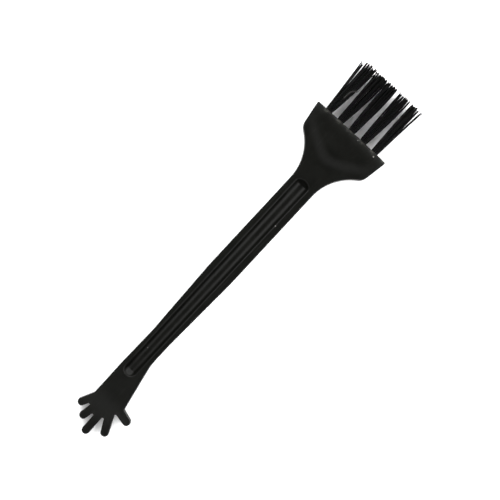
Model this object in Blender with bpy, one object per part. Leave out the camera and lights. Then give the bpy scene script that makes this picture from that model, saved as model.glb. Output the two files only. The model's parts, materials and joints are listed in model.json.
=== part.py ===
"""Small hand-shaped cleaning brush, lying on its back.

One moulded plastic handle: a wide flat head, a slim arm with a long scooped recess, and a palm with five
fingers. Five tufts of bristle stand in a row of blind bores in the head's end face. Each tuft is a bundle
folded over a flat wire anchor, which is driven down the bore and bites into its walls.

Frame: +X across the head, +Y from the fingers to the bristle tips, +Z up. The origin is under the middle
of the brush, on the flat back. Metres throughout.
"""

import math

import bpy
import bmesh
from mathutils import Matrix, Vector
from mathutils.geometry import delaunay_2d_cdt

MM = 0.001

# Lengthways stations, measured from the middle of the brush.
LENGTH = 160.0 * MM
FINGER_END_Y = -LENGTH / 2
BRISTLE_END_Y = LENGTH / 2
HEAD_END_Y = 58.5 * MM
SHOULDER_Y = 48.8 * MM
NECK_Y = 42.5 * MM
TAPER_START_Y = -8.0 * MM
WRIST_Y = -38.0 * MM
THUMB_FLARE_Y = -47.0 * MM

# Widths, each given as the distance from the centre line.
HEAD_HALF = 15.8 * MM
SHOULDER_HALF = 14.15 * MM
ARM_HALF = 5.05 * MM
WRIST_HALF = 3.95 * MM
PALM_BULGE_HALF = 4.2 * MM

# Roundings of the outline seen from above.
END_CORNER_R = 0.6 * MM
SHOULDER_R = 3.9 * MM
NECK_R = 17.8 * MM
ARM_BEND_R = 60.0 * MM
PALM_R = 25.0 * MM
LITTLE_ROOT_R = 1.5 * MM
THUMB_ROOT_R = 0.7 * MM
WEB_R = 0.4 * MM

# Fingers from the little finger to the thumb: tip centre, and the turn of the finger away from -Y.
FINGER_HALF = 1.47 * MM
TIP_R = 0.97 * FINGER_HALF
FINGERS = (
    ("little", (-5.05 * MM, -72.3 * MM), -26.0),
    ("ring", (-1.6 * MM, -75.25 * MM), -9.0),
    ("middle", (2.7 * MM, FINGER_END_Y + FINGER_HALF), -2.5),
    ("index", (8.0 * MM, -74.85 * MM), 26.5),
    ("thumb", (11.0 * MM, -66.95 * MM), 75.5),
)
WEBS = (
    (-1.5 * MM, -68.1 * MM),
    (1.05 * MM, -69.1 * MM),
    (3.8 * MM, -70.2 * MM),
    (6.1 * MM, -67.5 * MM),
)
LITTLE_ROOT = (-4.05 * MM, -66.9 * MM)
THUMB_ROOT = (7.65 * MM, -64.5 * MM)

# Thicknesses. The back is flat, and the mould parts a little above it.
ARM_THICK = 5.0 * MM
HEAD_RISE = 1.6 * MM
FINGER_DROP = 1.8 * MM
PARTING_Z = 1.6 * MM
DRAFT_INSET = 0.12 * MM
EDGE_R = 0.45 * MM
EDGE_STEPS = 2

# The ramp up to the head is V-shaped: its middle line is a hyperbola across the head.
RAMP_APEX_Y = 45.7 * MM
RAMP_SLOPE = 0.6
RAMP_ROUND = 3.0 * MM
RAMP_HALF_WIDTH = 2.8 * MM
PALM_START_Y = -46.0 * MM
PALM_FALL = 27.0 * MM

# The scooped recess: a stadium seen from above, a half ellipse across.
RECESS_HEAD_Y = 32.6 * MM
RECESS_HAND_Y = -52.8 * MM
RECESS_HEAD_HALF = 2.4 * MM
RECESS_HAND_HALF = 2.05 * MM
RECESS_DEPTH = 1.9 * MM
RECESS_RINGS = (1.0, 0.97, 0.85, 0.6, 0.3)

# Tufts, bores and anchors. A tuft's tip is given by how far it leans sideways, and its half width.
TUFT_COUNT = 5
TUFT_PITCH = 5.3 * MM
TUFT_ROW_X = -0.2 * MM
TUFT_Z = 3.3 * MM
TUFT_HALF = 1.2 * MM
TUFT_TIP_HALF_Z = 2.2 * MM
TUFT_TIPS = (
    (-0.2 * MM, 2.9 * MM),
    (0.05 * MM, 2.25 * MM),
    (-0.2 * MM, 2.05 * MM),
    (0.3 * MM, 2.3 * MM),
    (0.35 * MM, 2.2 * MM),
)
TUFT_STATIONS = (0.0, 0.2, 0.45, 0.7, 0.94)
TIP_ROUND_STATION = 0.985
TIP_ROUND_SHARE = 0.82
HINGE_OUT = 0.8 * MM
BORE_R = 1.45 * MM
BORE_DEPTH = 6.9 * MM
FOLD_DEPTH = 6.5 * MM
ROOT_TOP_DEPTH = 0.7 * MM
ANCHOR_SIZE = (3.5 * MM, 1.8 * MM, 0.35 * MM)
ANCHOR_DEPTH = 4.3 * MM
ANCHOR_GAP = 0.2 * MM
BORE_OVERSHOOT = 1.0 * MM

# Fineness of the facets. The two fields are grids of points (first y, last y, spacing) on the front face.
ARC_STEP = math.radians(22.0)
ARC_CHORD = 2.5 * MM
STRAIGHT_STEP = 9.0 * MM
SHORTEST_EDGE = 0.15 * MM
TUFT_SIDES = 16
BORE_SIDES = 16
BALL_STEPS = 4
RAMP_FIELD = (NECK_Y - 4.0 * MM, HEAD_END_Y, 2.4 * MM)
PALM_FIELD = (WEBS[0][1], RECESS_HAND_Y - 3.7 * MM, 3.5 * MM)


def material(name, colour, roughness, metallic=0.0):
    """A Principled material of one colour."""
    made = bpy.data.materials.new(name)
    made.use_nodes = True
    shader = made.node_tree.nodes["Principled BSDF"]
    shader.inputs["Base Color"].default_value = (*colour, 1.0)
    shader.inputs["Roughness"].default_value = roughness
    shader.inputs["Metallic"].default_value = metallic
    return made


def clear_scene():
    for old in list(bpy.data.objects):
        bpy.data.objects.remove(old, do_unlink=True)


def place(bm, name, finish, smooth_angle=35.0):
    """Turns a bmesh into a named object in the scene."""
    bmesh.ops.recalc_face_normals(bm, faces=bm.faces)
    mesh = bpy.data.meshes.new(name)
    bm.to_mesh(mesh)
    bm.free()
    mesh.shade_smooth()
    mesh.set_sharp_from_angle(angle=math.radians(smooth_angle))
    mesh.materials.append(finish)
    made = bpy.data.objects.new(name, mesh)
    bpy.context.scene.collection.objects.link(made)
    return made


# ---------------------------------------------------------------- outline


def finger_corners(centre, turn):
    """The two corners of a finger's tip, which its half width as rounding makes a half circle."""
    along = Vector((math.sin(math.radians(turn)), -math.cos(math.radians(turn))))
    side = Vector((along.y, -along.x))
    tip = Vector(centre) + along * FINGER_HALF
    first = tip + side * FINGER_HALF
    second = tip - side * FINGER_HALF
    return [(*first, TIP_R), (*second, TIP_R)]


def hand_corners():
    """Corners (x, y, rounding) from the little finger's root round to the thumb's."""
    corners = [(*LITTLE_ROOT, LITTLE_ROOT_R)]
    for index, (_, centre, turn) in enumerate(FINGERS):
        corners += finger_corners(centre, turn)
        if index < len(WEBS):
            corners.append((*WEBS[index], WEB_R))
    corners.append((*THUMB_ROOT, THUMB_ROOT_R))
    return corners


def handle_corners():
    """Corners (x, y, rounding) of the whole handle, anticlockwise from the head's right end corner."""
    left = [
        (-HEAD_HALF, HEAD_END_Y, END_CORNER_R),
        (-SHOULDER_HALF, SHOULDER_Y, SHOULDER_R),
        (-ARM_HALF, NECK_Y, NECK_R),
        (-ARM_HALF, TAPER_START_Y, ARM_BEND_R),
        (-WRIST_HALF, WRIST_Y, ARM_BEND_R),
        (-PALM_BULGE_HALF, (WRIST_Y + LITTLE_ROOT[1]) / 2, ARM_BEND_R),
    ]
    right = [
        (WRIST_HALF, THUMB_FLARE_Y, PALM_R),
        (WRIST_HALF, WRIST_Y, ARM_BEND_R),
        (ARM_HALF, TAPER_START_Y, ARM_BEND_R),
        (ARM_HALF, NECK_Y, NECK_R),
        (SHOULDER_HALF, SHOULDER_Y, SHOULDER_R),
    ]
    return [(HEAD_HALF, HEAD_END_Y, END_CORNER_R)] + left + hand_corners() + right


def corner_arc(before, corner, after, radius):
    """Points of the arc that rounds one corner, from tangent point to tangent point."""
    way_in = (corner - before).normalized()
    way_out = (after - corner).normalized()
    turn = math.atan2(way_in.x * way_out.y - way_in.y * way_out.x, way_in.dot(way_out))
    if abs(turn) < math.radians(0.2):
        return [corner]
    start = corner - way_in * radius * math.tan(abs(turn) / 2)
    inward = Vector((-way_in.y, way_in.x)) * math.copysign(1.0, turn)
    centre = start + inward * radius
    count = math.ceil(max(abs(turn) / ARC_STEP, abs(turn) * radius / ARC_CHORD))
    arc = []
    for step in range(count + 1):
        angle = turn * step / count
        spoke = start - centre
        turned = Vector((
            spoke.x * math.cos(angle) - spoke.y * math.sin(angle),
            spoke.x * math.sin(angle) + spoke.y * math.cos(angle),
        ))
        arc.append(centre + turned)
    return arc


def rounded_outline(corners):
    """The closed outline through rounded corners, with its straight runs cut into even pieces."""
    points = []
    count = len(corners)
    for index, (x, y, radius) in enumerate(corners):
        before = Vector(corners[index - 1][:2])
        after = Vector(corners[(index + 1) % count][:2])
        points += corner_arc(before, Vector((x, y)), after, radius)
    outline = []
    for index, point in enumerate(points):
        following = points[(index + 1) % len(points)]
        gap = (following - point).length
        if gap < SHORTEST_EDGE:
            continue
        pieces = max(1, math.ceil(gap / STRAIGHT_STEP))
        outline += [point.lerp(following, piece / pieces) for piece in range(pieces)]
    return outline


def inset(outline, distance):
    """The outline moved inwards along the normals of its corners."""
    moved = []
    for index, point in enumerate(outline):
        way_in = (point - outline[index - 1]).normalized()
        way_out = (outline[(index + 1) % len(outline)] - point).normalized()
        along = (way_in + way_out).normalized()
        normal = Vector((-along.y, along.x))
        moved.append(point + normal * distance / max(0.5, along.dot(way_in)))
    return moved


# ---------------------------------------------------------------- heights


def smooth(value):
    """0 below 0, 1 above 1, with an even S between them."""
    held = min(1.0, max(0.0, value))
    return held * held * (3.0 - 2.0 * held)


def top_height(x, y):
    """Height of the front face over the back, without the recess."""
    ramp_y = RAMP_APEX_Y + RAMP_SLOPE * (math.hypot(x, RAMP_ROUND) - RAMP_ROUND)
    head = HEAD_RISE * smooth((y - ramp_y + RAMP_HALF_WIDTH) / (2 * RAMP_HALF_WIDTH))
    hand = FINGER_DROP * smooth((PALM_START_Y - y) / PALM_FALL)
    return ARM_THICK + head - hand


def recess_half(y):
    """Half width of the recess at a station along its spine."""
    share = (y - RECESS_HAND_Y) / (RECESS_HEAD_Y - RECESS_HAND_Y)
    return RECESS_HAND_HALF + (RECESS_HEAD_HALF - RECESS_HAND_HALF) * min(1.0, max(0.0, share))


def recess_ring(share):
    """One closed contour of the recess, at a share of its half width."""
    ring = []
    for end_y, first_angle in ((RECESS_HEAD_Y, 0.0), (RECESS_HAND_Y, math.pi)):
        radius = recess_half(end_y) * share
        count = math.ceil(math.pi / ARC_STEP)
        for step in range(count + 1):
            angle = first_angle + math.pi * step / count
            ring.append(Vector((radius * math.cos(angle), end_y + radius * math.sin(angle))))
    closed = []
    for index, point in enumerate(ring):
        following = ring[(index + 1) % len(ring)]
        pieces = max(1, math.ceil((following - point).length / STRAIGHT_STEP))
        closed += [point.lerp(following, piece / pieces) for piece in range(pieces)]
    return closed


def recess_fall(share):
    """Depth of the recess at a share of its half width."""
    return RECESS_DEPTH * math.sqrt(max(0.0, 1.0 - share * share))


# ---------------------------------------------------------------- handle


def inside(point, ring):
    """Whether a point lies inside a closed ring, by counting crossings."""
    crossings = 0
    for index, corner in enumerate(ring):
        before = ring[index - 1]
        if (corner.y > point.y) != (before.y > point.y):
            share = (point.y - before.y) / (corner.y - before.y)
            if point.x < before.x + share * (corner.x - before.x):
                crossings += 1
    return crossings % 2 == 1


def field_points(ring):
    """Points that carry the ramp and the palm's slope, well inside the ring."""
    found = []
    for low, high, step in (RAMP_FIELD, PALM_FIELD):
        columns = int(HEAD_HALF // step)
        for row in range(int((high - low) / step) + 1):
            for column in range(-columns, columns + 1):
                point = Vector((column * step, low + row * step))
                clear = min((point - corner).length for corner in ring) > 0.45 * step
                if clear and inside(point, ring):
                    found.append(point)
    return found


def cap(bm, ring_verts, closed_contours, loose_points):
    """Fills a ring with triangles that also pass through contours and loose points, each with its fall."""
    flat = [vert.co.xy for vert in ring_verts]
    edges = [(index, (index + 1) % len(flat)) for index in range(len(flat))]
    heights = [vert.co.z for vert in ring_verts]
    for points, fall in closed_contours:
        first = len(flat)
        flat += points
        heights += [top_height(point.x, point.y) - fall for point in points]
        edges += [(first + index, first + (index + 1) % len(points)) for index in range(len(points))]
    for point, fall in loose_points:
        flat.append(point)
        heights.append(top_height(point.x, point.y) - fall)
    coords, _, faces, sources, _, _ = delaunay_2d_cdt(flat, edges, [], 1, 1e-7)
    verts = []
    for index, coord in enumerate(coords):
        source = sources[index][0]
        if source < len(ring_verts):
            verts.append(ring_verts[source])
        else:
            verts.append(bm.verts.new((coord.x, coord.y, heights[source])))
    for face in faces:
        bm.faces.new([verts[index] for index in face])


def bridge(bm, lower, upper):
    """A band of quads between two rings of equal count."""
    for index in range(len(lower)):
        following = (index + 1) % len(lower)
        bm.faces.new((lower[index], lower[following], upper[following], upper[index]))


def rounded_rings(bm, outline, face_height, direction):
    """Rings of verts from just past the parting line to the face: a drafted wall, then a rounded edge."""
    rings = []
    for step in range(EDGE_STEPS + 1):
        angle = math.pi / 2 * step / EDGE_STEPS
        ring = inset(outline, DRAFT_INSET + EDGE_R * (1 - math.cos(angle)))
        drop = EDGE_R * (1 - math.sin(angle))
        rings.append([bm.verts.new((p.x, p.y, face_height(p.x, p.y) - direction * drop)) for p in ring])
    return rings


def bore_cutter(index, finish):
    """One blind bore with the side pockets that its anchor bites, as a cutter."""
    bm = bmesh.new()
    made = bmesh.ops.create_cone(bm, cap_ends=True, segments=BORE_SIDES, radius1=BORE_R, radius2=BORE_R,
                                 depth=BORE_DEPTH + BORE_OVERSHOOT)
    bmesh.ops.rotate(bm, verts=made["verts"], cent=(0, 0, 0), matrix=Matrix.Rotation(-math.pi / 2, 3, "X"))
    bmesh.ops.translate(bm, verts=made["verts"], vec=(0, (BORE_OVERSHOOT - BORE_DEPTH) / 2, 0))
    cutter = place(bm, f"bore_cutter_{index + 1}", finish)
    return as_cutter(cutter, index)


def pocket_cutter(index, finish):
    """The slot in a bore's walls that the anchor's ends sit in."""
    size = [length + 2 * ANCHOR_GAP for length in ANCHOR_SIZE]
    cutter = place(box_bmesh(size), f"pocket_cutter_{index + 1}", finish)
    cutter = as_cutter(cutter, index)
    cutter.location.y = HEAD_END_Y - ANCHOR_DEPTH
    return cutter


def box_bmesh(size):
    """A box of the given side lengths about the origin."""
    bm = bmesh.new()
    bmesh.ops.create_cube(bm, size=1.0)
    bmesh.ops.scale(bm, vec=size, verts=bm.verts)
    return bm


def as_cutter(cutter, index):
    """Sets a cutter on its tuft's axis and leaves it out of the model."""
    cutter.location = (tuft_x(index), HEAD_END_Y, TUFT_Z)
    cutter.hide_render = True
    cutter.display_type = "WIRE"
    return cutter


def cut(target, cutter):
    """Subtracts the cutter from the target."""
    modifier = target.modifiers.new(cutter.name, "BOOLEAN")
    modifier.operation = "DIFFERENCE"
    modifier.solver = "EXACT"
    modifier.object = cutter


def tuft_x(index):
    """Where a tuft's axis crosses the row."""
    return TUFT_ROW_X + (index - (TUFT_COUNT - 1) / 2) * TUFT_PITCH


def build_handle(finish):
    """The moulding: walls from the parting line up to the front and down to the back, then the two faces."""
    bm = bmesh.new()
    outline = rounded_outline(handle_corners())
    parting = [bm.verts.new((point.x, point.y, PARTING_Z)) for point in outline]
    front = [parting] + rounded_rings(bm, outline, top_height, 1)
    back = [parting] + rounded_rings(bm, outline, lambda x, y: 0.0, -1)
    for rings in (front, back):
        for lower, upper in zip(rings, rings[1:]):
            bridge(bm, lower, upper)
    front_ring = [vert.co.xy for vert in front[-1]]
    contours = [(recess_ring(share), recess_fall(share)) for share in RECESS_RINGS]
    spine_count = math.ceil((RECESS_HEAD_Y - RECESS_HAND_Y) / STRAIGHT_STEP)
    ends = Vector((0, RECESS_HAND_Y)), Vector((0, RECESS_HEAD_Y))
    loose = [(ends[0].lerp(ends[1], step / spine_count), RECESS_DEPTH) for step in range(spine_count + 1)]
    loose += [(point, 0.0) for point in field_points(front_ring)]
    cap(bm, front[-1], contours, loose)
    cap(bm, back[-1], [], [])
    handle = place(bm, "handle", finish)
    for index in range(TUFT_COUNT):
        cut(handle, bore_cutter(index, finish))
        cut(handle, pocket_cutter(index, finish))
    return handle


# ---------------------------------------------------------------- tufts and anchors


def turned_solid(stations):
    """A closed solid of elliptical rings (y, centre x, half x, half z) along +Y; zero size closes an end."""
    bm = bmesh.new()
    rings = []
    for y, centre_x, half_x, half_z in stations:
        if half_x == 0.0:
            rings.append([bm.verts.new((centre_x, y, 0.0))])
            continue
        ring = []
        for side in range(TUFT_SIDES):
            angle = 2 * math.pi * side / TUFT_SIDES
            ring.append(bm.verts.new((centre_x + half_x * math.cos(angle), y, half_z * math.sin(angle))))
        rings.append(ring)
    for lower, upper in zip(rings, rings[1:]):
        for side in range(TUFT_SIDES):
            following = (side + 1) % TUFT_SIDES
            corners = [lower[side % len(lower)], lower[following % len(lower)]]
            corners += [upper[following % len(upper)], upper[side % len(upper)]]
            distinct = list(dict.fromkeys(corners))
            bm.faces.new(distinct)
    return bm


def ball_stations(radius, centre_y):
    """Rings of the half ball that closes a round bundle at its low end."""
    stations = [(centre_y - radius, 0.0, 0.0, 0.0)]
    for step in range(1, BALL_STEPS):
        angle = math.pi / 2 * step / BALL_STEPS
        half = radius * math.sin(angle)
        stations.append((centre_y - radius * math.cos(angle), 0.0, half, half))
    return stations


def build_tuft(index, finish):
    """The free bristles: a round foot in the bore's mouth on the flexing axis, fanning out to the tips."""
    lean, spread = TUFT_TIPS[index]
    length = BRISTLE_END_Y - HEAD_END_Y - HINGE_OUT
    stations = ball_stations(TUFT_HALF, 0.0)
    for share in TUFT_STATIONS:
        half_x = TUFT_HALF + (spread - TUFT_HALF) * share
        half_z = TUFT_HALF + (TUFT_TIP_HALF_Z - TUFT_HALF) * share
        stations.append((length * share, lean * share, half_x, half_z))
    rounded = TIP_ROUND_SHARE * spread, TIP_ROUND_SHARE * TUFT_TIP_HALF_Z
    stations.append((length * TIP_ROUND_STATION, lean, *rounded))
    stations.append((length, lean, 0.0, 0.0))
    tuft = place(turned_solid(stations), f"tuft_{index + 1}", finish, 50.0)
    tuft.location = (tuft_x(index), HEAD_END_Y + HINGE_OUT, TUFT_Z)
    return tuft


def build_root(index, finish):
    """The folded part of a tuft in its bore, before the anchor's slot is cut between its two legs."""
    stations = ball_stations(TUFT_HALF, TUFT_HALF - FOLD_DEPTH)
    stations.append((TUFT_HALF - FOLD_DEPTH, 0.0, TUFT_HALF, TUFT_HALF))
    stations.append((-ROOT_TOP_DEPTH, 0.0, TUFT_HALF, TUFT_HALF))
    bm = turned_solid(stations)
    open_edges = [edge for edge in bm.edges if edge.is_boundary]
    bmesh.ops.contextual_create(bm, geom=open_edges)
    root = place(bm, f"tuft_{index + 1}_root", finish, 50.0)
    root.location = (tuft_x(index), HEAD_END_Y, TUFT_Z)
    return root


def build_anchor(index, finish):
    """A short length of flat wire, set across the bore."""
    anchor = place(box_bmesh(ANCHOR_SIZE), f"anchor_{index + 1}", finish)
    anchor.location = (tuft_x(index), HEAD_END_Y - ANCHOR_DEPTH, TUFT_Z)
    return anchor


def main():
    clear_scene()
    plastic = material("handle_plastic", (0.018, 0.018, 0.019), 0.42)
    bristle = material("bristle_nylon", (0.012, 0.012, 0.013), 0.38)
    wire = material("anchor_wire", (0.62, 0.6, 0.56), 0.35, 1.0)
    build_handle(plastic)
    for index in range(TUFT_COUNT):
        build_tuft(index, bristle)
        root = build_root(index, bristle)
        cut(root, bpy.data.objects[f"pocket_cutter_{index + 1}"])
        build_anchor(index, wire)


main()
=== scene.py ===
"""Looks of the small hand-shaped cleaning brush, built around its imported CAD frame.

The handle's plain solid gives way to a fine moulding with the same outline, ramp, recess and bores. Each
tuft's two solids give way to one bundle of nylon strands, folded over the anchor down in its bore, and each
anchor's box gives way to a sheared length of flat wire. Metres throughout, in the CAD frame: +X across the
head, +Y from the fingers to the bristle tips, +Z out of the front.
"""

import json
import math
import random

import bmesh
import bpy
import numpy as np
from mathutils import Matrix, Vector
from mathutils.geometry import delaunay_2d_cdt


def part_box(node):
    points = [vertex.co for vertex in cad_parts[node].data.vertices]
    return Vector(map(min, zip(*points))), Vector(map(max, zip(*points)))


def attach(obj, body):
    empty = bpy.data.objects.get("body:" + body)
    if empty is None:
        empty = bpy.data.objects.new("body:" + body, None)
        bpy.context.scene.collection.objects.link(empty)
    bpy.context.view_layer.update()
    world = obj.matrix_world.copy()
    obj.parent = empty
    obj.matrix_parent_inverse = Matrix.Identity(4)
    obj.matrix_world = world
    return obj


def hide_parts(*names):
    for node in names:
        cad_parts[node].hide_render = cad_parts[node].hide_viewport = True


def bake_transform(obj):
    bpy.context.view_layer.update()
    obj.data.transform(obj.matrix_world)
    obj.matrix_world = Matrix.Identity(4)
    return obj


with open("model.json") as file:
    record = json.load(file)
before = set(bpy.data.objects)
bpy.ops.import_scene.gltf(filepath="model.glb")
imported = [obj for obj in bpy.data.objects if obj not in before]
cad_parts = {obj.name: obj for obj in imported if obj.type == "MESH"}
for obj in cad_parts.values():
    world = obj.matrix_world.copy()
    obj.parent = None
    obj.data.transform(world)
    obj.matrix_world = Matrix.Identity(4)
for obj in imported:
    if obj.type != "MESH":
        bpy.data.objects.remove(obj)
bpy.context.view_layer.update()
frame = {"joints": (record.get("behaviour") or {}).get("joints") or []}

MM = 0.001

# ---------------------------------------------------------------- dimensions

# Places that the frame gives.
HANDLE_LOW, HANDLE_HIGH = (Vector(corner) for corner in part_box("handle"))
FINGER_END_Y = HANDLE_LOW.y
HEAD_END_Y = HANDLE_HIGH.y
BRISTLE_END_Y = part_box("tuft_3")[1][1]
FREE_LENGTH = BRISTLE_END_Y - HEAD_END_Y
TUFT_COUNT = len(frame["joints"])

# Lengthways stations of the handle.
SHOULDER_Y = 48.8 * MM
NECK_Y = 42.5 * MM
TAPER_START_Y = -8.0 * MM
WRIST_Y = -38.0 * MM
THUMB_FLARE_Y = -47.0 * MM

# Widths, each given as the distance from the centre line.
HEAD_HALF = 15.8 * MM
SHOULDER_HALF = 14.15 * MM
ARM_HALF = 5.05 * MM
WRIST_HALF = 3.95 * MM
PALM_BULGE_HALF = 4.2 * MM

# Roundings of the outline seen from above.
END_CORNER_R = 0.6 * MM
SHOULDER_R = 3.9 * MM
NECK_R = 17.8 * MM
ARM_BEND_R = 60.0 * MM
PALM_R = 25.0 * MM
LITTLE_ROOT_R = 1.5 * MM
THUMB_ROOT_R = 0.7 * MM
WEB_R = 0.4 * MM

# Fingers from the little finger to the thumb: tip centre, and the turn of the finger away from -Y.
FINGER_HALF = 1.47 * MM
TIP_R = 0.97 * FINGER_HALF
FINGERS = (
    ("little", (-5.05 * MM, -72.3 * MM), -26.0),
    ("ring", (-1.6 * MM, -75.25 * MM), -9.0),
    ("middle", (2.7 * MM, FINGER_END_Y + FINGER_HALF), -2.5),
    ("index", (8.0 * MM, -74.85 * MM), 26.5),
    ("thumb", (11.0 * MM, -66.95 * MM), 75.5),
)
WEBS = (
    (-1.5 * MM, -68.1 * MM),
    (1.05 * MM, -69.1 * MM),
    (3.8 * MM, -70.2 * MM),
    (6.1 * MM, -67.5 * MM),
)
LITTLE_ROOT = (-4.05 * MM, -66.9 * MM)
THUMB_ROOT = (7.65 * MM, -64.5 * MM)

# Thicknesses and the wall's section.
ARM_THICK = 5.0 * MM
HEAD_RISE = HANDLE_HIGH.z - ARM_THICK
PARTING_Z = 1.6 * MM
PARTING_BEAD = 0.04 * MM
PARTING_BEAD_Z = 0.1 * MM
DRAFT_INSET = 0.08 * MM
EDGE_R = 0.38 * MM
EDGE_STEPS = 6

# The V-shaped ramp up to the head, and the gentle crowns of the head and the arm.
RAMP_APEX_Y = 45.7 * MM
RAMP_SLOPE = 0.6
RAMP_ROUND = 3.0 * MM
RAMP_HALF_WIDTH = 3.4 * MM
CROWN_SIDE_FALL = 0.6 * MM
CROWN_SIDE_POWER = 3
CROWN_END_FALL = 0.5 * MM
CROWN_END_Y = 55.2 * MM
ARM_CROWN_FALL = 0.14 * MM
ARM_CROWN_FROM_Y = 42.0 * MM
ARM_CROWN_FADE = 6.0 * MM

# The front falls in two slopes from the arm to the fingers: (first y, length, fall).
HAND_SLOPES = ((-46.0 * MM, 18.0 * MM, 0.8 * MM), (-62.0 * MM, 12.0 * MM, 1.0 * MM))

# The recess across its width: the bottom of an ellipse, whose half height is SCOOP_HALF_HEIGHT, steepening to
# a rounded rim. It comes out 1.9 mm deep.
RECESS_X = -0.12 * MM
RECESS_HEAD_Y = 33.4 * MM
RECESS_HAND_Y = -52.6 * MM
RECESS_HEAD_HALF = 2.6 * MM
RECESS_HAND_HALF = 2.2 * MM
RECESS_HEAD_RUN = 1.55 * MM
RECESS_HAND_RUN = 2.0 * MM
SCOOP_HALF_HEIGHT = 2.3 * MM
RECESS_STEEPEST = math.radians(65.0)
RECESS_RIM_R = 0.9 * MM
SCOOP_STEPS = 8
RIM_STEPS = 6

# Ejector-pin marks on the back: stations along the centre line.
PIN_STATIONS = (48.0 * MM, 20.0 * MM, -8.0 * MM, -36.0 * MM, -60.0 * MM)
PIN_R = 1.6 * MM
PIN_DEPTH = 0.08 * MM
PIN_SIDES = 40

# Bores and tufts.
BORE_R = 1.45 * MM
BORE_DEPTH = 6.9 * MM
BORE_CHAMFER = 0.15 * MM
BORE_SIDES = 48
STRAND_R = 0.15 * MM
STRAND_SIDES = 8
LEG_STEPS = 16
FOLD_STEPS = 8
FOLD_Y = -5.3 * MM

# Rows of folded strands across the bore: height over its axis, half width, count. Each strand has one leg
# over the anchor and one under it.
STRAND_ROWS = (
    (0.33 * MM, 1.2 * MM, 9),
    (0.59 * MM, 1.05 * MM, 8),
    (0.85 * MM, 0.9 * MM, 7),
    (1.11 * MM, 0.45 * MM, 4),
)

# Each tuft's tips: how far their middle leans, their half width, and the power of the strands' splay. A power
# of 1 is a straight lean, more bends out near the head, and less bends out near the tips.
TUFT_TIPS = (
    (0.9 * MM, 1.8 * MM, 2.2),
    (0.55 * MM, 2.3 * MM, 2.2),
    (-0.1 * MM, 2.15 * MM, 2.2),
    (0.35 * MM, 2.4 * MM, 2.2),
    (-0.1 * MM, 1.8 * MM, 1.4),
)
TIP_HALF_Z = 1.85 * MM

# How unevenly the tips and the strands lie: height, share of the pitch between tips, and sideways bows.
TIP_SCATTER_Z = 0.12 * MM
TIP_JITTER = 0.45
BOW_X = 0.07 * MM
BOW_Z = 0.10 * MM

# Tips gather in clumps, and are cut unevenly: clump by clump, and strand by strand. The middle clump is the
# longest.
CLUMP_PITCH = 0.95 * MM
CLUMP_PULL = 0.25
CLUMP_PULL_POWER = 5
CLUMP_COUNT = 16
MIDDLE_CLUMP = 8
CLUMP_RAGGED = 0.45 * MM
STRAND_RAGGED = 0.45 * MM

# Strands that stand apart from their tuft, by tuft, row and place in the row: the tip's distance from the
# axis, how much shorter the strand is, and the power of its splay. A strand's two legs end APART_HALF_GAP to
# either side of that distance. Those of the first tuft leave a slit.
APART = {
    (0, 0, 0): (-3.2 * MM, 1.0 * MM, 0.9),
    (0, 1, 0): (-2.9 * MM, 1.6 * MM, 0.9),
    (0, 2, 0): (-2.55 * MM, 2.1 * MM, 0.9),
    (0, 0, 1): (-2.15 * MM, 2.0 * MM, 0.9),
    (0, 1, 1): (-1.75 * MM, 0.4 * MM, 0.7),
    (0, 3, 0): (-1.3 * MM, 0.6 * MM, 0.7),
    (0, 2, 6): (3.4 * MM, 0.8 * MM, 0.7),
    (1, 0, 0): (-2.3 * MM, 0.4 * MM, 0.5),
    (1, 2, 6): (2.9 * MM, 0.6 * MM, 1.2),
    (4, 0, 8): (2.8 * MM, 0.2 * MM, 0.8),
    (4, 1, 7): (2.55 * MM, 0.5 * MM, 0.8),
}
APART_HALF_GAP = 0.11 * MM

# One strand of the first tuft is bent over to the right and ends short: points from the bore's mouth. Its
# part past the bend is painted pale, a painted glint where the bend catches the light.
BENT_TUFT = 0
BENT = (
    (0.5 * MM, 0.0, 1.0 * MM),
    (0.8 * MM, 4.0 * MM, 1.9 * MM),
    (0.9 * MM, 6.6 * MM, 2.35 * MM),
    (0.95 * MM, 8.2 * MM, 2.5 * MM),
    (1.25 * MM, 9.6 * MM, 2.6 * MM),
    (2.0 * MM, 10.6 * MM, 2.5 * MM),
    (2.75 * MM, 11.0 * MM, 2.3 * MM),
    (3.0 * MM, 12.2 * MM, 2.1 * MM),
)
BENT_STEPS = 5
BENT_SHADE = 0.5
# Where the bent strand's painted glint starts, and the strand value that marks the painted glint.
BENT_GLINT_FROM = 6.4 * MM
GLINT_MARK = 2.0

# Each tuft has its own random numbers, seeded from here on. The order of the draws sets where strands lie.
FIRST_SEED = 11

# The anchors' edges.
ROLLED_EDGE_R = 0.15 * MM
ROLLED_EDGE_STEPS = 5
SHEARED_EDGE_R = 0.02 * MM
SHEARED_EDGE_STEPS = 2

# Fineness of the mesh.
ARC_STEP = math.radians(5.0)
ARC_CHORD = 0.9 * MM
STRAIGHT_STEP = 0.9 * MM
SHORTEST_EDGE = 0.02 * MM
FLATTEST_CORNER = math.radians(0.2)
SHARPEST_MITRE = 0.5
FIELD_STEP = 0.55 * MM
FIELD_CLEARANCE = 0.6
TRIANGLES_INSIDE = 1
WELD_DISTANCE = 1e-8
SHARP_ANGLE = math.radians(40.0)
STRAND_SHARP_ANGLE = math.radians(50.0)


# ---------------------------------------------------------------- outline


def finger_corners(centre, turn):
    """The two corners of a finger's tip. Rounded by just under its half width, they make it a half circle."""
    along = Vector((math.sin(math.radians(turn)), -math.cos(math.radians(turn))))
    side = Vector((along.y, -along.x))
    tip = Vector(centre) + along * FINGER_HALF
    first = tip + side * FINGER_HALF
    second = tip - side * FINGER_HALF
    return [(*first, TIP_R), (*second, TIP_R)]


def hand_corners():
    """Corners (x, y, rounding) from the little finger's root round to the thumb's."""
    corners = [(*LITTLE_ROOT, LITTLE_ROOT_R)]
    for index, (_, centre, turn) in enumerate(FINGERS):
        corners += finger_corners(centre, turn)
        if index < len(WEBS):
            corners.append((*WEBS[index], WEB_R))
    corners.append((*THUMB_ROOT, THUMB_ROOT_R))
    return corners


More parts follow.
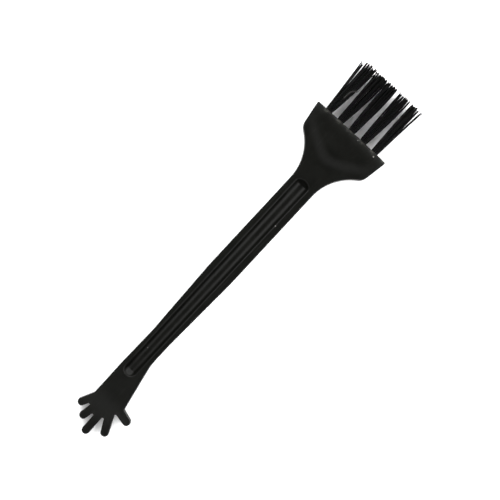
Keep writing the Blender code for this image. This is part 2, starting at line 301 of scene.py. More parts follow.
def handle_corners():
    """Corners (x, y, rounding) of the whole handle, anticlockwise from the head's right end corner."""
    left = [
        (-HEAD_HALF, HEAD_END_Y, END_CORNER_R),
        (-SHOULDER_HALF, SHOULDER_Y, SHOULDER_R),
        (-ARM_HALF, NECK_Y, NECK_R),
        (-ARM_HALF, TAPER_START_Y, ARM_BEND_R),
        (-WRIST_HALF, WRIST_Y, ARM_BEND_R),
        (-PALM_BULGE_HALF, (WRIST_Y + LITTLE_ROOT[1]) / 2, ARM_BEND_R),
    ]
    right = [
        (WRIST_HALF, THUMB_FLARE_Y, PALM_R),
        (WRIST_HALF, WRIST_Y, ARM_BEND_R),
        (ARM_HALF, TAPER_START_Y, ARM_BEND_R),
        (ARM_HALF, NECK_Y, NECK_R),
        (SHOULDER_HALF, SHOULDER_Y, SHOULDER_R),
    ]
    return [(HEAD_HALF, HEAD_END_Y, END_CORNER_R)] + left + hand_corners() + right


def corner_arc(before, corner, after, radius):
    """Points of the arc that rounds one corner, from tangent point to tangent point."""
    way_in = (corner - before).normalized()
    way_out = (after - corner).normalized()
    turn = math.atan2(way_in.x * way_out.y - way_in.y * way_out.x, way_in.dot(way_out))
    if abs(turn) < FLATTEST_CORNER:
        return [corner]
    start = corner - way_in * radius * math.tan(abs(turn) / 2)
    inward = Vector((-way_in.y, way_in.x)) * math.copysign(1.0, turn)
    centre = start + inward * radius
    spoke = start - centre
    count = math.ceil(max(abs(turn) / ARC_STEP, abs(turn) * radius / ARC_CHORD))
    return [centre + Matrix.Rotation(turn * step / count, 2) @ spoke for step in range(count + 1)]


def rounded_outline(corners):
    """The closed outline through rounded corners, with its straight runs cut into even pieces."""
    points = []
    count = len(corners)
    for index, (x, y, radius) in enumerate(corners):
        before = Vector(corners[index - 1][:2])
        after = Vector(corners[(index + 1) % count][:2])
        points += corner_arc(before, Vector((x, y)), after, radius)
    outline = []
    for index, point in enumerate(points):
        following = points[(index + 1) % len(points)]
        gap = (following - point).length
        if gap < SHORTEST_EDGE:
            continue
        pieces = max(1, math.ceil(gap / STRAIGHT_STEP))
        outline += [point.lerp(following, piece / pieces) for piece in range(pieces)]
    return outline


def inset(outline, distance):
    """The outline moved inwards along the normals of its corners."""
    moved = []
    for index, point in enumerate(outline):
        way_in = (point - outline[index - 1]).normalized()
        way_out = (outline[(index + 1) % len(outline)] - point).normalized()
        along = (way_in + way_out).normalized()
        normal = Vector((-along.y, along.x))
        moved.append(point + normal * distance / max(SHARPEST_MITRE, along.dot(way_in)))
    return moved


# ---------------------------------------------------------------- heights


def smooth(value):
    """0 below 0, 1 above 1, with an even S between them."""
    held = min(1.0, max(0.0, value))
    return held * held * (3.0 - 2.0 * held)


def top_height(x, y):
    """Height of the front face over the back, without the recess."""
    ramp_y = RAMP_APEX_Y + RAMP_SLOPE * (math.hypot(x, RAMP_ROUND) - RAMP_ROUND)
    on_head = smooth((y - ramp_y + RAMP_HALF_WIDTH) / (2 * RAMP_HALF_WIDTH))
    crown = CROWN_SIDE_FALL * min(1.0, abs(x) / HEAD_HALF) ** CROWN_SIDE_POWER
    crown += CROWN_END_FALL * max(0.0, (y - CROWN_END_Y) / (HEAD_END_Y - CROWN_END_Y)) ** 2
    hand = sum(fall * smooth((start - y) / length) for start, length, fall in HAND_SLOPES)
    on_arm = smooth((ARM_CROWN_FROM_Y - y) / ARM_CROWN_FADE)
    arm_crown = ARM_CROWN_FALL * min(1.0, abs(x) / ARM_HALF) ** 2 * on_arm
    return ARM_THICK + on_head * (HEAD_RISE - crown) - hand - arm_crown


def recess_last_angle():
    """Where the scoop's elliptical section reaches its steepest, as an angle from the floor's middle."""
    mean_half = (RECESS_HEAD_HALF + RECESS_HAND_HALF) / 2
    return math.atan(math.tan(RECESS_STEEPEST) * mean_half / SCOOP_HALF_HEIGHT)


def recess_profile():
    """Stations from the recess's rim to its floor: (share of half width, share of end run, extra, depth)."""
    last = recess_last_angle()
    rim_depth = RECESS_RIM_R * (1 - math.cos(RECESS_STEEPEST))
    stations = []
    for step in range(RIM_STEPS + 1):
        tilt = RECESS_STEEPEST * step / RIM_STEPS
        out = RECESS_RIM_R * (math.sin(RECESS_STEEPEST) - math.sin(tilt))
        stations.append((math.sin(last), 1.0, out, RECESS_RIM_R * (1 - math.cos(tilt))))
    for step in range(1, SCOOP_STEPS):
        angle = last * (1 - step / SCOOP_STEPS)
        run = (1 - math.cos(angle)) / (1 - math.cos(last))
        depth = rim_depth + SCOOP_HALF_HEIGHT * (math.cos(angle) - math.cos(last))
        stations.append((math.sin(angle), run, 0.0, depth))
    return stations


def recess_ring(share, run, extra):
    """One closed contour of the recess at a station of its profile. The ends are straight slopes."""
    ring = []
    for end_y, half, end_run, first_angle in (
        (RECESS_HEAD_Y, RECESS_HEAD_HALF, RECESS_HEAD_RUN, 0.0),
        (RECESS_HAND_Y, RECESS_HAND_HALF, RECESS_HAND_RUN, math.pi),
    ):
        across = half * share + extra
        along = end_run * run + extra
        count = 2 * math.ceil(math.pi / 2 / ARC_STEP)
        for step in range(count + 1):
            angle = first_angle + math.pi * step / count
            ring.append(Vector((RECESS_X + across * math.cos(angle), end_y + along * math.sin(angle))))
    straight = RECESS_HEAD_Y - RECESS_HAND_Y
    closed = []
    for index, point in enumerate(ring):
        following = ring[(index + 1) % len(ring)]
        pieces = round(straight / STRAIGHT_STEP) if (following - point).length > straight / 2 else 1
        closed += [point.lerp(following, piece / pieces) for piece in range(pieces)]
    return closed


# ---------------------------------------------------------------- mesh helpers


def bridge(bm, lower, upper):
    """A band of quads between two rings of equal count."""
    for index in range(len(lower)):
        following = (index + 1) % len(lower)
        bm.faces.new((lower[index], lower[following], upper[following], upper[index]))


def fill(bm, rings, points=(), height=None):
    """Triangles inside the first ring of verts and outside the others, through loose points at a height."""
    flat = []
    edges = []
    owners = []
    for ring in rings:
        first = len(flat)
        flat += [vert.co.xy for vert in ring]
        owners += ring
        edges += [(first + index, first + (index + 1) % len(ring)) for index in range(len(ring))]
    loose_from = len(flat)
    flat += points
    coords, _, faces, sources, _, _ = delaunay_2d_cdt(flat, edges, [], TRIANGLES_INSIDE, WELD_DISTANCE)
    verts = []
    kinds = []
    ring_of = [number for number, ring in enumerate(rings) for _ in ring]
    for index, coord in enumerate(coords):
        source = sources[index][0]
        if source < loose_from:
            verts.append(owners[source])
            kinds.append(ring_of[source])
        else:
            verts.append(bm.verts.new((coord.x, coord.y, height(coord.x, coord.y))))
            kinds.append(0)
    for face in faces:
        kind = {kinds[index] for index in face}
        in_hole = len(kind) == 1 and kinds[face[0]] > 0
        if not in_hole:
            bm.faces.new([verts[index] for index in face])


def grid_points(ring, hole):
    """Points of a staggered grid inside the ring and outside the hole, clear of the edges of both."""
    border = np.array([vert.co.xy for vert in ring])
    rim = np.array([vert.co.xy for vert in hole])
    low, high = border.min(0), border.max(0)
    points = []
    for number, y in enumerate(np.arange(low[1], high[1], FIELD_STEP * math.sqrt(3) / 2)):
        shift = FIELD_STEP / 2 if number % 2 else 0.0
        points += [(x, y) for x in np.arange(low[0] + shift, high[0], FIELD_STEP)]
    points = np.array(points)
    kept = inside(points, border) & clear_of(points, border, FIELD_CLEARANCE * FIELD_STEP)
    kept &= ~inside(points, rim) & clear_of(points, rim, FIELD_CLEARANCE * FIELD_STEP)
    return [Vector(point) for point in points[kept]]


def inside(points, border):
    """Which points lie inside a closed border, by counting crossings."""
    x, y = points[:, :1], points[:, 1:]
    ends = np.roll(border, -1, axis=0)
    crossed = (border[:, 1] > y) != (ends[:, 1] > y)
    rise = np.where(ends[:, 1] == border[:, 1], 1.0, ends[:, 1] - border[:, 1])
    at_x = border[:, 0] + (y - border[:, 1]) / rise * (ends[:, 0] - border[:, 0])
    return (crossed & (x < at_x)).sum(1) % 2 == 1


def clear_of(points, border, distance):
    """Which points keep a distance from every point of a border."""
    gaps = np.hypot(points[:, :1] - border[:, 0], points[:, 1:] - border[:, 1])
    return gaps.min(1) > distance


def finish_mesh(bm, name, material):
    """Turns a bmesh into a smooth-shaded object in the scene."""
    bmesh.ops.recalc_face_normals(bm, faces=bm.faces)
    mesh = bpy.data.meshes.new(name)
    bm.to_mesh(mesh)
    bm.free()
    return shown(mesh, name, material, SHARP_ANGLE)


def shown(mesh, name, material, sharp_angle):
    """A mesh as an object in the scene, with its finish and its sharp edges."""
    mesh.shade_smooth()
    mesh.set_sharp_from_angle(angle=sharp_angle)
    mesh.materials.clear()
    mesh.materials.append(material)
    made = bpy.data.objects.new(name, mesh)
    bpy.context.scene.collection.objects.link(made)
    return made


def tuft_x(index):
    """Where a tuft's axis crosses the row, from its joint."""
    return frame["joints"][index]["pos_m"][0]


def tuft_z(index):
    """Height of a tuft's axis, from its joint."""
    return frame["joints"][index]["pos_m"][2]


# ---------------------------------------------------------------- handle


def wall_rings(bm, outline):
    """Rings of verts from the back face up to the front face: edge, wall, parting bead, wall, edge."""
    angles = [math.pi / 2 * step / EDGE_STEPS for step in range(EDGE_STEPS + 1)]
    section = []
    for angle in angles:
        inward = DRAFT_INSET + EDGE_R * (1 - math.sin(angle))
        section.append((inward, "back", EDGE_R * (1 - math.cos(angle))))
    section.append((PARTING_BEAD, "back", PARTING_Z - PARTING_BEAD_Z))
    section.append((0.0, "back", PARTING_Z))
    section.append((PARTING_BEAD, "back", PARTING_Z + PARTING_BEAD_Z))
    for angle in angles:
        inward = DRAFT_INSET + EDGE_R * (1 - math.cos(angle))
        section.append((inward, "front", EDGE_R * (1 - math.sin(angle))))
    rings = []
    for distance, side, offset in section:
        ring = []
        for point in inset(outline, distance):
            z = offset if side == "back" else top_height(point.x, point.y) - offset
            ring.append(bm.verts.new((point.x, point.y, z)))
        rings.append(ring)
    return rings


def recess_patch(bm):
    """The scoop from its rim to its floor. Returns the outermost ring of verts."""
    rings = []
    for share, run, extra, depth in recess_profile():
        ring = []
        for point in recess_ring(share, run, extra):
            ring.append(bm.verts.new((point.x, point.y, top_height(point.x, point.y) - depth)))
        rings.append(ring)
    for outer, inner in zip(rings, rings[1:]):
        bridge(bm, outer, inner)
    fill(bm, [rings[-1]])
    return rings[0]


def pin_mark(bm, y):
    """A shallow round sunk mark in the back. Returns its outer ring of verts."""
    rings = []
    for radius, z in ((PIN_R, 0.0), (PIN_R - PIN_DEPTH, PIN_DEPTH)):
        ring = []
        for side in range(PIN_SIDES):
            angle = 2 * math.pi * side / PIN_SIDES
            ring.append(bm.verts.new((radius * math.cos(angle), y + radius * math.sin(angle), z)))
        rings.append(ring)
    bridge(bm, rings[0], rings[1])
    bm.faces.new(rings[1])
    return rings[0]


def bore_cutters():
    """The five chamfered blind bores as one cutter of separate bodies."""
    bm = bmesh.new()
    section = ((-BORE_DEPTH, 0.0), (-BORE_DEPTH, BORE_R), (-BORE_CHAMFER, BORE_R),
               (BORE_CHAMFER, BORE_R + 2 * BORE_CHAMFER), (BORE_CHAMFER, 0.0))
    for index in range(TUFT_COUNT):
        rings = []
        for y, radius in section:
            sides = BORE_SIDES if radius else 1
            ring = []
            for side in range(sides):
                angle = 2 * math.pi * side / BORE_SIDES
                x = tuft_x(index) + radius * math.cos(angle)
                ring.append(bm.verts.new((x, HEAD_END_Y + y, tuft_z(index) + radius * math.sin(angle))))
            rings.append(ring)
        for lower, upper in zip(rings, rings[1:]):
            for side in range(BORE_SIDES):
                following = (side + 1) % BORE_SIDES
                corners = [lower[side % len(lower)], lower[following % len(lower)]]
                corners += [upper[following % len(upper)], upper[side % len(upper)]]
                # At an end's single vert two of the corners are the same one, which leaves a triangle.
                bm.faces.new(list(dict.fromkeys(corners)))
    bmesh.ops.recalc_face_normals(bm, faces=bm.faces)
    mesh = bpy.data.meshes.new("bore_cutters")
    bm.to_mesh(mesh)
    bm.free()
    made = bpy.data.objects.new("bore_cutters", mesh)
    bpy.context.scene.collection.objects.link(made)
    return made


def build_handle(material):
    """The moulding: wall, front face round the recess, back face with pin marks, and the bores cut in."""
    bm = bmesh.new()
    rings = wall_rings(bm, rounded_outline(handle_corners()))
    for lower, upper in zip(rings, rings[1:]):
        bridge(bm, lower, upper)
    rim = recess_patch(bm)
    fill(bm, [rings[-1], rim], grid_points(rings[-1], rim), top_height)
    marks = [pin_mark(bm, y) for y in PIN_STATIONS]
    fill(bm, [rings[0]] + marks)
    solid = finish_mesh(bm, "handle_solid", material)
    cutter = bore_cutters()
    modifier = solid.modifiers.new("bores", "BOOLEAN")
    modifier.operation = "DIFFERENCE"
    modifier.solver = "EXACT"
    modifier.object = cutter
    depsgraph = bpy.context.evaluated_depsgraph_get()
    mesh = bpy.data.meshes.new_from_object(solid.evaluated_get(depsgraph))
    bpy.data.objects.remove(solid)
    bpy.data.objects.remove(cutter)
    handle = shown(mesh, "handle_moulding", material, SHARP_ANGLE)
    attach(handle, "root")
    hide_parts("handle")
    return handle


# ---------------------------------------------------------------- bristles


def add_strand(verts, faces, shades, path, shade):
    """Adds a round strand with flat cut ends along a path. Its shade is one value, or one for each point."""
    path = np.array(path)
    along = np.gradient(path, axis=0)
    along /= np.linalg.norm(along, axis=1)[:, None]
    side = np.cross(along[0], (0.0, 0.0, 1.0))
    first = len(verts)
    for point, direction, tone in zip(path, along, np.broadcast_to(shade, len(path))):
        side = side - direction * side.dot(direction)
        side /= np.linalg.norm(side)
        other = np.cross(direction, side)
        for number in range(STRAND_SIDES):
            angle = 2 * math.pi * number / STRAND_SIDES
            verts.append(tuple(point + STRAND_R * (math.cos(angle) * side + math.sin(angle) * other)))
            shades.append(tone)
    for ring in range(len(path) - 1):
        low = first + ring * STRAND_SIDES
        for number in range(STRAND_SIDES):
            following = (number + 1) % STRAND_SIDES
            high = low + STRAND_SIDES
            faces.append((low + number, low + following, high + following, high + number))
    faces.append(tuple(first + number for number in reversed(range(STRAND_SIDES))))
    last = first + (len(path) - 1) * STRAND_SIDES
    faces.append(tuple(last + number for number in range(STRAND_SIDES)))


def clump(x):
    """The middle of the clump that a strand's tip falls in."""
    return (math.floor(x / CLUMP_PITCH) + 0.5) * CLUMP_PITCH


def leg_tip(index, row, number, side, shorter, rng):
    """Where one leg of a strand ends: its tip's x and z, its length from the mouth, and its splay's power."""
    lean, spread, early = TUFT_TIPS[index]
    row_z, _, count = STRAND_ROWS[row]
    tip_z = side * row_z / STRAND_ROWS[-1][0] * TIP_HALF_Z + rng.gauss(0.0, TIP_SCATTER_Z)
    if (index, row, number) in APART:
        tip_x, cut, splay = APART[index, row, number]
        return tip_x + side * APART_HALF_GAP, tip_z, FREE_LENGTH - cut, splay
    together = [other for other in range(count) if (index, row, other) not in APART]
    share = (together.index(number) + 0.5 + rng.uniform(-TIP_JITTER, TIP_JITTER)) / len(together)
    tip_x = lean + spread * (2 * share - 1)
    tooth = shorter[MIDDLE_CLUMP + round((clump(tip_x) - clump(0.0)) / CLUMP_PITCH)]
    return tip_x, tip_z, FREE_LENGTH - tooth - rng.uniform(0.0, STRAND_RAGGED), early


def leg_path(root_x, root_z, tip_x, tip_z, length, splay, rng):
    """Points of one leg from the anchor's edge to its cut tip, in the tuft's own frame."""
    pull = (clump(tip_x) - tip_x) * CLUMP_PULL
    bow_x = rng.gauss(0.0, BOW_X)
    bow_z = rng.gauss(0.0, BOW_Z)
    points = [(root_x, FOLD_Y, root_z), (root_x, FOLD_Y / 2, root_z), (root_x, 0.0, root_z)]
    for step in range(1, LEG_STEPS + 1):
        share = step / LEG_STEPS
        fan = 1 - (1 - share) ** splay
        bow = math.sin(math.pi * share)
        x = root_x + (tip_x - root_x) * fan + pull * share ** CLUMP_PULL_POWER + bow_x * bow
        z = root_z + (tip_z - root_z) * fan + bow_z * bow
        points.append((x, length * share, z))
    return points


def fold_path(root_x, root_z):
    """Points of the turn under the anchor, from the upper leg round to the lower one."""
    points = []
    for step in range(1, FOLD_STEPS):
        angle = math.pi * step / FOLD_STEPS
        points.append((root_x, FOLD_Y - root_z * math.sin(angle), root_z * math.cos(angle)))
    return points


def curve_through(points, steps):
    """A smooth run of points through a few given ones, each span a cubic that its neighbours steer."""
    points = [Vector(point) for point in points]
    padded = [2 * points[0] - points[1]] + points + [2 * points[-1] - points[-2]]
    run = []
    for before, start, stop, after in zip(padded, padded[1:], padded[2:], padded[3:]):
        straight = stop - before
        squared = 2 * before - 5 * start + 4 * stop - after
        cubed = 3 * start - before - 3 * stop + after
        for step in range(steps):
            t = step / steps
            run.append(0.5 * (2 * start + straight * t + squared * t * t + cubed * t * t * t))
    return run + [points[-1]]


def build_tuft(index, material, rng):
    """One bundle of strands, each folded over the anchor, from cut tip to cut tip."""
    verts, faces, shades = [], [], []
    shorter = [rng.uniform(0.0, CLUMP_RAGGED) for _ in range(CLUMP_COUNT)]
    shorter[MIDDLE_CLUMP] = 0.0
    for row, (row_z, row_half, count) in enumerate(STRAND_ROWS):
        for number in range(count):
            root_x = row_half * (2 * number / (count - 1) - 1)
            legs = []
            for side in (1, -1):
                tip = leg_tip(index, row, number, side, shorter, rng)
                legs.append(leg_path(root_x, side * row_z, *tip, rng))
            path = legs[0][::-1] + fold_path(root_x, row_z) + legs[1]
            add_strand(verts, faces, shades, path, rng.random())
    if index == BENT_TUFT:
        path = curve_through(BENT, BENT_STEPS)
        # Points past the bend carry the mark of the painted glint; the rest get a plain dark tone.
        tones = [GLINT_MARK if point.y > BENT_GLINT_FROM else BENT_SHADE for point in path]
        add_strand(verts, faces, shades, path, tones)
    place = Vector((tuft_x(index), HEAD_END_Y, tuft_z(index)))
    mesh = bpy.data.meshes.new(f"bristles_{index + 1}")
    mesh.from_pydata([Vector(vert) + place for vert in verts], [], faces)
    attribute = mesh.attributes.new("strand", "FLOAT", "POINT")
    attribute.data.foreach_set("value", shades)
    bundle = shown(mesh, f"bristle_bundle_{index + 1}", material, STRAND_SHARP_ANGLE)
    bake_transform(bundle)
    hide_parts(f"tuft_{index + 1}", f"tuft_{index + 1}_root")
    return bundle


# ---------------------------------------------------------------- anchors


def run_along_x(edge):
    """How far an edge runs along the wire."""
    return abs(edge.verts[0].co.x - edge.verts[1].co.x)


def build_anchor(index, material):
    """A sheared length of flat wire with rolled edges, across the bore."""
    low, high = (Vector(corner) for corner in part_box(f"anchor_{index + 1}"))
    half_length = (high.x - low.x) / 2
    bm = bmesh.new()
    bmesh.ops.create_cube(bm, size=1.0)
    bmesh.ops.scale(bm, vec=high - low, verts=bm.verts)
    bmesh.ops.translate(bm, vec=(low + high) / 2, verts=bm.verts)
    # First the four long edges, rolled round, and then the edges that the shears left at both ends.
    rolled = [edge for edge in bm.edges if run_along_x(edge) > half_length]
    bmesh.ops.bevel(
        bm, geom=rolled, offset=ROLLED_EDGE_R, segments=ROLLED_EDGE_STEPS, profile=0.5, affect="EDGES"
    )
    sheared = [edge for edge in bm.edges if run_along_x(edge) < half_length]
    bmesh.ops.bevel(
        bm, geom=sheared, offset=SHEARED_EDGE_R, segments=SHEARED_EDGE_STEPS, profile=0.5, affect="EDGES"
    )
    anchor = finish_mesh(bm, f"anchor_wire_{index + 1}", material)
    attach(anchor, "root")
    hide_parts(f"anchor_{index + 1}")
    return anchor


# ---------------------------------------------------------------- materials


class Nodes:
    """Short calls for a material's node tree."""

    def __init__(self, name):
        self.material = bpy.data.materials.new(name)
        self.material.use_nodes = True
        self.tree = self.material.node_tree
        self.shader = self.tree.nodes["Principled BSDF"]

    def add(self, kind, **settings):
        node = self.tree.nodes.new(kind)
        for key, value in settings.items():
            setattr(node, key, value)
        return node

    def link(self, source, target):
        self.tree.links.new(source, target)

    def place(self, scale=(1.0, 1.0, 1.0)):
        """Object coordinates in metres, stretched by a scale."""
        coords = self.add("ShaderNodeTexCoord")
        mapping = self.add("ShaderNodeMapping")
        mapping.inputs["Scale"].default_value = scale
        self.link(coords.outputs["Object"], mapping.inputs["Vector"])
        return mapping.outputs["Vector"]

    def noise(self, vector, scale, detail=2.0, roughness=0.5):
        node = self.add("ShaderNodeTexNoise")
        node.inputs["Scale"].default_value = scale
        node.inputs["Detail"].default_value = detail
        node.inputs["Roughness"].default_value = roughness
        self.link(vector, node.inputs["Vector"])
        return node.outputs["Fac"]

    def remap(self, value, low, high, to_low=0.0, to_high=1.0):
        node = self.add("ShaderNodeMapRange")
        node.inputs["From Min"].default_value = low
        node.inputs["From Max"].default_value = high
        node.inputs["To Min"].default_value = to_low
        node.inputs["To Max"].default_value = to_high
        self.link(value, node.inputs["Value"])
        return node.outputs["Result"]

    def math(self, operation, first, second=0.0):
        node = self.add("ShaderNodeMath", operation=operation)
        for socket, value in zip(node.inputs, (first, second)):
            if isinstance(value, (int, float)):
                socket.default_value = value
            else:
                self.link(value, socket)
        return node.outputs["Value"]

    def mix(self, share, first, second):
        """Colours mixed by a share; each is a socket or an (r, g, b)."""
        node = self.add("ShaderNodeMix", data_type="RGBA")
        self.link(share, node.inputs["Factor"])
        for socket, value in ((node.inputs[6], first), (node.inputs[7], second)):
            if isinstance(value, tuple):
                socket.default_value = (*value, 1.0)
            else:
                self.link(value, socket)
        return node.outputs[2]

    def bump(self, height, strength, distance, normal=None):
        node = self.add("ShaderNodeBump")
        node.inputs["Strength"].default_value = strength
        node.inputs["Distance"].default_value = distance
        self.link(height, node.inputs["Height"])
        if normal is not None:
            self.link(normal, node.inputs["Normal"])
        return node.outputs["Normal"]


# Colours as linear red, green and blue, and how strongly the black pieces shine.
PLASTIC_BLACKS = ((0.0009, 0.001, 0.0007), (0.0023, 0.0024, 0.0018))
SCUFF_COLOUR = (0.023, 0.023, 0.022)
DUST_COLOUR = (0.23, 0.22, 0.21)
# Pale colour over the bores: wear, partly a painted highlight for the lit raised lips.
LIP_WEAR_AND_HIGHLIGHT_COLOUR = (0.027, 0.027, 0.023)
PLASTIC_SHINE = 0.088
NYLON_BLACKS = ((0.0002, 0.0002, 0.0002), (0.0014, 0.0014, 0.0013))
# Pale colour of the painted glint on the bent strand.
PAINTED_GLINT_COLOUR = (0.031, 0.031, 0.029)
NYLON_SHINE = 0.054
WIRE_GREYS = ((0.66, 0.64, 0.6), (0.5, 0.48, 0.45))
PAPER_WHITES = ((0.93, 0.93, 0.93), (0.96, 0.96, 0.96))

# Dust and nibs on the handle: centre and radius.
SPECKS = (
    ((11.1 * MM, 57.1 * MM, 6.25 * MM), 0.32 * MM),
    ((3.4 * MM, 57.5 * MM, 6.42 * MM), 0.2 * MM),
    ((2.7 * MM, 17.1 * MM, 4.8 * MM), 0.28 * MM),
    ((-1.2 * MM, -43.2 * MM, 3.0 * MM), 0.45 * MM),
)

# Pale wear on the head's end edge over each bore, partly a painted highlight for the lit raised lips: how far
# it lies beside the bore, and where it fades in.
LIP_SHIFT = -0.6 * MM
LIP_FADE = (1.6 * MM, 0.4 * MM)


def plastic_material():
    """Satin black moulded plastic: fine grain, faint flow mottling, scuffs, dust, and pale wear over the
    bores that is partly a painted highlight.
    """
    nodes = Nodes("handle_plastic_look")
    place = nodes.place()
    mottle = nodes.noise(place, scale=220.0, detail=3.0)
    grain = nodes.noise(place, scale=9000.0)
    ripple = nodes.noise(place, scale=420.0, detail=1.0)
    scuffs = nodes.noise(nodes.place((2600.0, 90.0, 900.0)), scale=1.0, detail=3.0)
    scuffed = nodes.remap(scuffs, 0.62, 0.78)
    colour = nodes.mix(mottle, *PLASTIC_BLACKS)
    colour = nodes.mix(nodes.math("MULTIPLY", scuffed, 0.15), colour, SCUFF_COLOUR)
    colour = nodes.mix(nodes.math("MULTIPLY", dust(nodes, place), 0.5), colour, DUST_COLOUR)
    # Pale wear over the bores, partly a painted highlight where the raised lips catch the light.
    colour = nodes.mix(lip_wear_and_highlight(nodes, place), colour, LIP_WEAR_AND_HIGHLIGHT_COLOUR)
    nodes.link(colour, nodes.shader.inputs["Base Color"])
    rough = nodes.remap(mottle, 0.3, 0.7, 0.35, 0.41)
    rough = nodes.math("ADD", rough, nodes.math("MULTIPLY", scuffed, 0.12))
    nodes.link(rough, nodes.shader.inputs["Roughness"])
    normal = nodes.bump(grain, strength=0.25, distance=0.01 * MM)
    normal = nodes.bump(ripple, strength=0.25, distance=0.03 * MM, normal=normal)
    nodes.link(normal, nodes.shader.inputs["Normal"])
    nodes.shader.inputs["Specular IOR Level"].default_value = PLASTIC_SHINE
    return nodes.material


def dust(nodes, place):
    """Share of dust: fine specks scattered all over, and the larger ones at their own places."""
    scattered = nodes.add("ShaderNodeTexVoronoi", feature="F1")
    scattered.inputs["Scale"].default_value = 62.0
    nodes.link(place, scattered.inputs["Vector"])
    share = nodes.remap(scattered.outputs["Distance"], 0.010, 0.014, 1.0, 0.0)
    for centre, radius in SPECKS:
        distance = nodes.add("ShaderNodeVectorMath", operation="DISTANCE")
        distance.inputs[1].default_value = centre
        nodes.link(place, distance.inputs[0])
        spot = nodes.remap(distance.outputs["Value"], 0.6 * radius, radius, 1.0, 0.0)
        share = nodes.math("MAXIMUM", share, spot)
    return share


def lip_wear_and_highlight(nodes, place):
    """Share of whitening where the head's end edge passes over each bore, partly a painted highlight for the
    raised lips that catch the light.
    """
    parts = nodes.add("ShaderNodeSeparateXYZ")
    nodes.link(place, parts.inputs["Vector"])
    from_first = nodes.math("SUBTRACT", parts.outputs["X"], tuft_x(0) + LIP_SHIFT)
    phase = nodes.math("MULTIPLY", from_first, 2 * math.pi / (tuft_x(1) - tuft_x(0)))
    near_bore = nodes.remap(nodes.math("COSINE", phase), -0.2, 0.7)
    fade_from, fade_to = (HEAD_END_Y - distance for distance in LIP_FADE)
    near_edge = nodes.remap(parts.outputs["Y"], fade_from, fade_to)
    broken = nodes.remap(nodes.noise(place, scale=1300.0), 0.42, 0.62)
    return nodes.math("MULTIPLY", nodes.math("MULTIPLY", near_bore, near_edge), broken)


def nylon_material():
    """Black nylon strands: each a slightly different depth of black, with drawn lines along it, and a painted
    glint on the bent strand.
    """
    nodes = Nodes("bristle_nylon_look")
    strand = nodes.add("ShaderNodeAttribute", attribute_name="strand").outputs["Fac"]
    drawn = nodes.noise(nodes.place((6000.0, 250.0, 6000.0)), scale=1.0)
    shade = nodes.math("MULTIPLY", nodes.math("ADD", strand, drawn), 0.5)
    # Strand values above 1 mark the bent strand's painted glint, which is painted in a pale colour.
    painted_glint = nodes.remap(strand, 1.2, 1.4)
    colour = nodes.mix(painted_glint, nodes.mix(shade, *NYLON_BLACKS), PAINTED_GLINT_COLOUR)
    nodes.link(colour, nodes.shader.inputs["Base Color"])
    nodes.link(nodes.remap(drawn, 0.3, 0.7, 0.34, 0.5), nodes.shader.inputs["Roughness"])
    nodes.link(nodes.bump(drawn, strength=0.2, distance=0.01 * MM), nodes.shader.inputs["Normal"])
    nodes.shader.inputs["Specular IOR Level"].default_value = NYLON_SHINE
    return nodes.material


def wire_material():
    """Bright flat wire with drawn lines along its length and a dull smear here and there."""
    nodes = Nodes("anchor_wire_look")
    drawn = nodes.noise(nodes.place((150.0, 9000.0, 9000.0)), scale=1.0, detail=3.0)
    dull = nodes.noise(nodes.place(), scale=1800.0)
    nodes.link(nodes.mix(dull, *WIRE_GREYS), nodes.shader.inputs["Base Color"])
    nodes.shader.inputs["Metallic"].default_value = 1.0
    nodes.link(nodes.remap(drawn, 0.3, 0.7, 0.22, 0.42), nodes.shader.inputs["Roughness"])
    nodes.link(nodes.bump(drawn, strength=0.3, distance=0.01 * MM), nodes.shader.inputs["Normal"])
    return nodes.material


# ---------------------------------------------------------------- stage, lights and camera

# The camera looks straight down, turned so that the brush lies across the picture.
PICTURE_TURN = math.radians(42.9)
PICTURE_WIDTH = 171.7 * MM
AIM = Vector((1.9 * MM, 5.2 * MM, 3.0 * MM))
CAMERA_HEIGHT = 400.0 * MM
SENSOR = 36.0

# Soft boxes: name, turn round from +X, lean from overhead (degrees), distance, width, height, watts.
SOFT_BOXES = (
    ("bristle_end", 90.0, 60.0, 0.60, 1.0, 0.28, 7.2),
    ("left", 160.0, 49.0, 0.60, 0.60, 0.36, 4.7),
    ("right", 20.0, 49.0, 0.60, 0.60, 0.36, 4.5),
    ("hand_end", 270.0, 40.0, 0.65, 1.3, 0.26, 4.2),
)
FILL = 0.2

# The floor, just under the brush's back.
FLOOR_SIZE = 1.5
FLOOR_DROP = 0.05 * MM
FLOOR_ROUGHNESS = 0.9


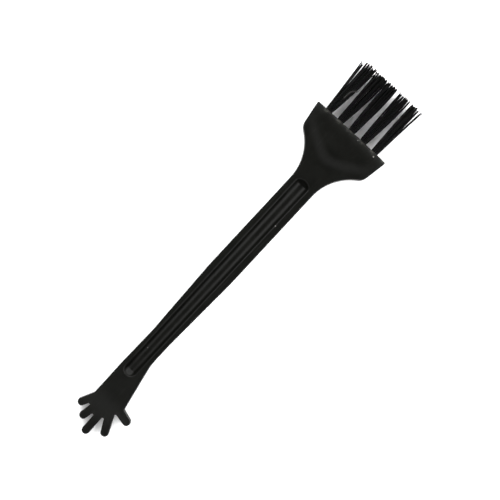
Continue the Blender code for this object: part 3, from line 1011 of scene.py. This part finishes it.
def build_stage():
    """A large plain pale floor under the brush."""
    bm = bmesh.new()
    bmesh.ops.create_grid(bm, x_segments=1, y_segments=1, size=FLOOR_SIZE)
    nodes = Nodes("floor_paper")
    fibres = nodes.noise(nodes.place(), scale=900.0, detail=3.0)
    nodes.link(nodes.mix(fibres, *PAPER_WHITES), nodes.shader.inputs["Base Color"])
    nodes.shader.inputs["Roughness"].default_value = FLOOR_ROUGHNESS
    floor = finish_mesh(bm, "floor", nodes.material)
    floor.location.z = -FLOOR_DROP


def build_lights():
    """Soft boxes round the brush with a dark overhead, and a dim even fill."""
    for name, turn, lean, distance, width, height, watts in SOFT_BOXES:
        light = bpy.data.lights.new(f"soft_box_{name}", "AREA")
        light.shape = "RECTANGLE"
        light.size = width
        light.size_y = height
        light.energy = watts
        holder = bpy.data.objects.new(light.name, light)
        outward = math.sin(math.radians(lean))
        x = outward * math.cos(math.radians(turn))
        y = outward * math.sin(math.radians(turn))
        away = Vector((x, y, math.cos(math.radians(lean))))
        holder.location = away * distance
        holder.rotation_euler = away.to_track_quat("Z", "Y").to_euler()
        bpy.context.scene.collection.objects.link(holder)
    world = bpy.data.worlds.new("studio")
    world.use_nodes = True
    background = world.node_tree.nodes["Background"]
    background.inputs["Color"].default_value = (1.0, 1.0, 1.0, 1.0)
    background.inputs["Strength"].default_value = FILL
    bpy.context.scene.world = world


def build_camera():
    """A camera straight above the brush."""
    data = bpy.data.cameras.new("camera")
    data.sensor_width = SENSOR
    data.lens = SENSOR * CAMERA_HEIGHT / PICTURE_WIDTH
    camera = bpy.data.objects.new("camera", data)
    camera.location = AIM + Vector((0.0, 0.0, CAMERA_HEIGHT))
    camera.rotation_euler = (0.0, 0.0, PICTURE_TURN)
    bpy.context.scene.collection.objects.link(camera)
    bpy.context.scene.camera = camera


build_camera()
build_lights()
build_stage()
bpy.context.scene.view_settings.view_transform = "Standard"

plastic = plastic_material()
nylon = nylon_material()
wire = wire_material()
build_handle(plastic)
for number in range(TUFT_COUNT):
    build_tuft(number, nylon, random.Random(FIRST_SEED + number))
    build_anchor(number, wire)
